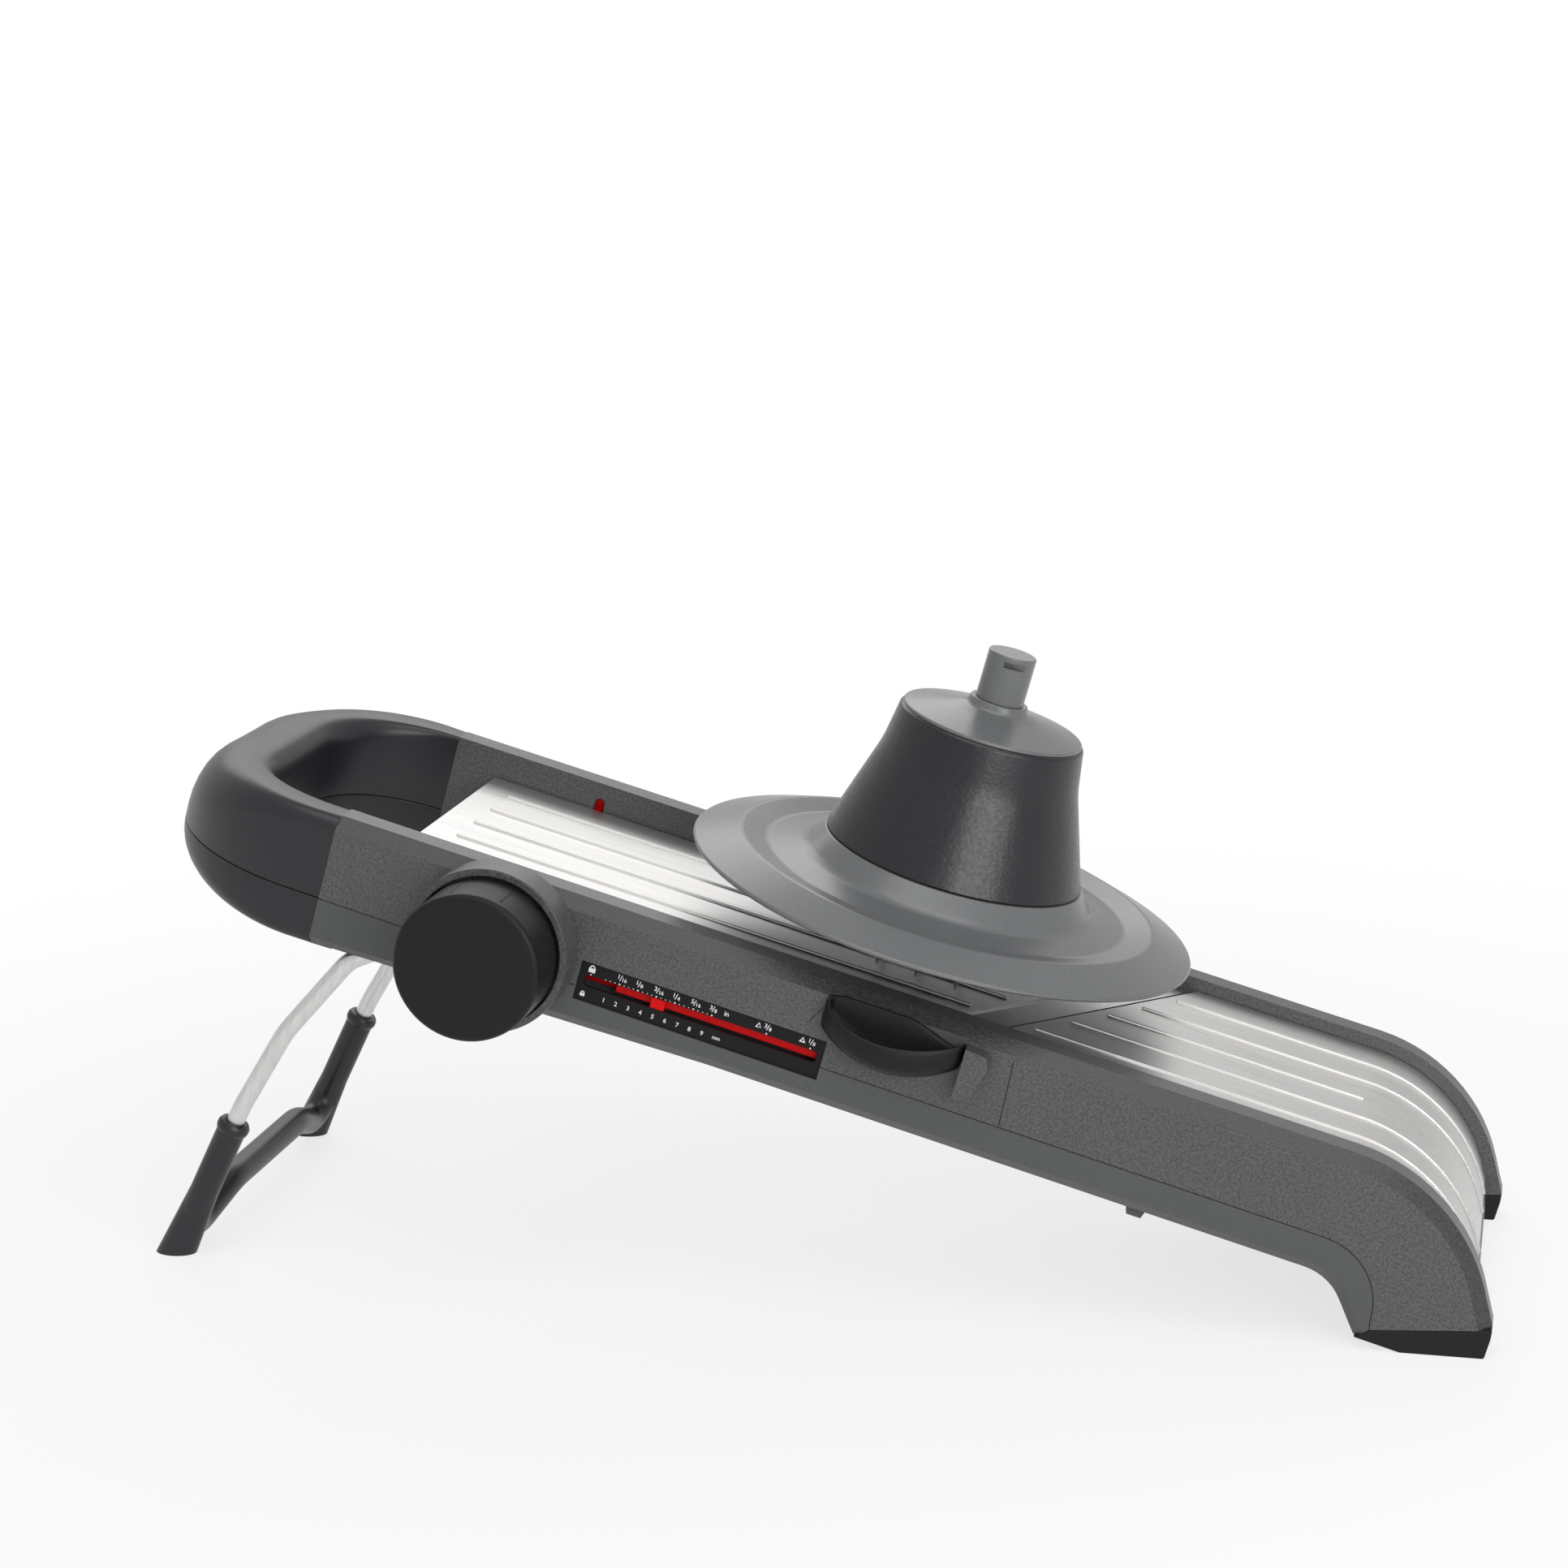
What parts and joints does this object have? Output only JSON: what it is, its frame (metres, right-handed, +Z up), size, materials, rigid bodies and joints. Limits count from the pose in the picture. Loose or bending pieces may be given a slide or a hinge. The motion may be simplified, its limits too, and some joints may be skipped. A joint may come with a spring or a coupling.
{
  "type": "mandoline slicer",
  "caption": "Adjustable mandoline slicer standing on a folding wire leg, with a side thickness knob, scale, slide-out blade and a domed food holder.",
  "frame": {"origin": "centre of the whole footprint, on the surface the slicer stands on", "axes": "+X runs level from the handle to the front feet, +Y away from the knob side, +Z up"},
  "size_m": [0.4194, 0.1808, 0.1946],
  "materials": {
    "housing_gray": "satin grained",
    "soft_black": "matte soft-touch",
    "foot_rubber": "matte",
    "deck_steel": "brushed",
    "panel_black": "satin",
    "screw_steel": "plain",
    "bush_white": "natural",
    "knob_black": "fine grained",
    "cam_red": "satin",
    "blade_steel": "ground",
    "wire_steel": "satin",
    "holder_gray": "satin"
  },
  "bodies": {
    "frame": {"upper_housing": "housing_gray", "lower_housing": "housing_gray", "handle_grip_upper": "soft_black", "handle_grip_lower": "soft_black", "near_foot_pad": "foot_rubber", "far_foot_pad": "foot_rubber", "landing_plate": "deck_steel", "blade_bed": "housing_gray", "scale_panel": "panel_black", "housing_screws": "screw_steel", "knob_boss": "housing_gray", "click_spring": "screw_steel", "shaft_bushes": "bush_white", "leg_pins": "screw_steel"},
    "knob": {"knob_shaft": "screw_steel", "knob_core": "knob_black", "knob_grip": "soft_black", "detent_wheel": "bush_white", "near_pinion": "bush_white", "far_pinion": "bush_white"},
    "near_cam": {"near_cam_bar": "cam_red"},
    "far_cam": {"far_cam_bar": "cam_red"},
    "runway": {"runway_plate": "deck_steel", "runway_carrier": "housing_gray", "runway_pins": "screw_steel"},
    "cartridge": {"blade_frame": "knob_black", "slicing_blade": "blade_steel", "blade_rivets": "screw_steel", "blade_lever": "knob_black"},
    "leg": {"leg_wire": "wire_steel", "leg_sleeve": "soft_black"},
    "pusher": {"pusher_plate": "holder_gray", "pusher_prongs": "blade_steel", "plunger_stem": "holder_gray", "plunger_button": "holder_gray"},
    "holder": {"holder_shell": "holder_gray", "holder_grip": "soft_black", "holder_cap": "holder_gray", "holder_spring": "screw_steel"}
  },
  "joints": [
    {"name": "knob_turn", "type": "hinge", "parent": "frame", "child": "knob", "pos_m": [-0.09168, 0.00933, 0.11063], "axis": [0, 1, 0], "range_deg": [-150.4, 121.7]},
    {"name": "near_cam_slide", "type": "slide", "parent": "frame", "child": "near_cam", "axis": [0.963, 0, -0.2696], "range_m": [-0.021, 0.017]},
    {"name": "far_cam_slide", "type": "slide", "parent": "frame", "child": "far_cam", "axis": [0.963, 0, -0.2696], "range_m": [-0.021, 0.017]},
    {"name": "runway_lift", "type": "slide", "parent": "frame", "child": "runway", "axis": [-0.2696, 0, -0.963], "range_m": [-0.00525, 0.00425]},
    {"name": "blade_draw", "type": "slide", "parent": "frame", "child": "cartridge", "axis": [-0.4354, -0.892, 0.1219], "range_m": [0, 0.15]},
    {"name": "leg_fold", "type": "hinge", "parent": "frame", "child": "leg", "pos_m": [-0.12106, 0.00933, 0.10805], "axis": [0, -1, 0], "range_deg": [0, 106]},
    {"name": "holder_stroke", "type": "slide", "parent": "runway", "child": "pusher", "axis": [0.963, 0, -0.2696], "range_m": [-0.13, 0.01]},
    {"name": "holder_press", "type": "slide", "parent": "pusher", "child": "holder", "axis": [-0.2696, 0, -0.963], "range_m": [0, 0.011], "stiffness_N_per_m": 250, "springref_m": -0.02, "deforming": ["holder_spring"]}
  ],
  "couplings": [
    {"joint": "near_cam_slide", "follows": "knob_turn", "m_per_rad": 0.008},
    {"joint": "far_cam_slide", "follows": "knob_turn", "m_per_rad": 0.008},
    {"joint": "runway_lift", "follows": "knob_turn", "m_per_rad": 0.002}
  ]
}
